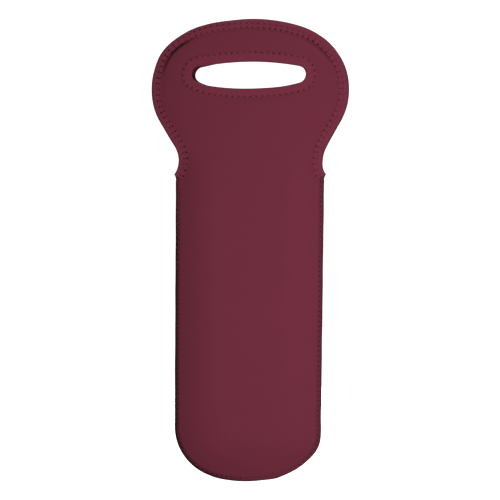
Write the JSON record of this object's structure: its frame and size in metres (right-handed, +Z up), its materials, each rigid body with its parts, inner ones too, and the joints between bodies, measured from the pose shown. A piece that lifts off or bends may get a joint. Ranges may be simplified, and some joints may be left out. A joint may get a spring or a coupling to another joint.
{
  "type": "bottle carrier",
  "caption": "Soft neoprene carrier for one bottle: a flat pouch with a rounded bottom, and above its mouth two bound handles with a hand slot through both.",
  "frame": {"origin": "lowest point of the pouch's bottom seam, in the middle of its width and depth", "axes": "+Z up from the bottom seam to the handles, +X to the right as the front is looked at, +Y from the front panel to the back panel; the front faces -Y"},
  "size_m": [0.179, 0.026, 0.4181],
  "materials": {
    "jersey_face": "matte knitted jersey, maroon",
    "foam_core": "closed-cell neoprene foam, near black",
    "jersey_lining": "matte knitted jersey, dark maroon",
    "binding_tape": "folded stretch binding tape, maroon, sewn down in rows"
  },
  "bodies": {
    "pouch": {"front_pouch_face": "jersey_face", "front_pouch_foam": "foam_core", "front_pouch_lining": "jersey_lining", "back_pouch_face": "jersey_face", "back_pouch_foam": "foam_core", "back_pouch_lining": "jersey_lining"},
    "front_handle": {"front_handle_face": "jersey_face", "front_handle_foam": "foam_core", "front_handle_lining": "jersey_lining", "front_edge_binding": "binding_tape", "front_slot_binding": "binding_tape"},
    "back_handle": {"back_handle_face": "jersey_face", "back_handle_foam": "foam_core", "back_handle_lining": "jersey_lining", "back_edge_binding": "binding_tape", "back_slot_binding": "binding_tape"}
  },
  "joints": [
    {"name": "front_handle_flex", "type": "hinge", "parent": "pouch", "child": "front_handle", "pos_m": [0, -0.009, 0.278], "axis": [1, 0, 0], "range_deg": [0, 40], "stiffness_Nm_per_rad": 0.05},
    {"name": "back_handle_flex", "type": "hinge", "parent": "pouch", "child": "back_handle", "pos_m": [0, 0.009, 0.278], "axis": [-1, 0, 0], "range_deg": [0, 40], "stiffness_Nm_per_rad": 0.05}
  ]
}
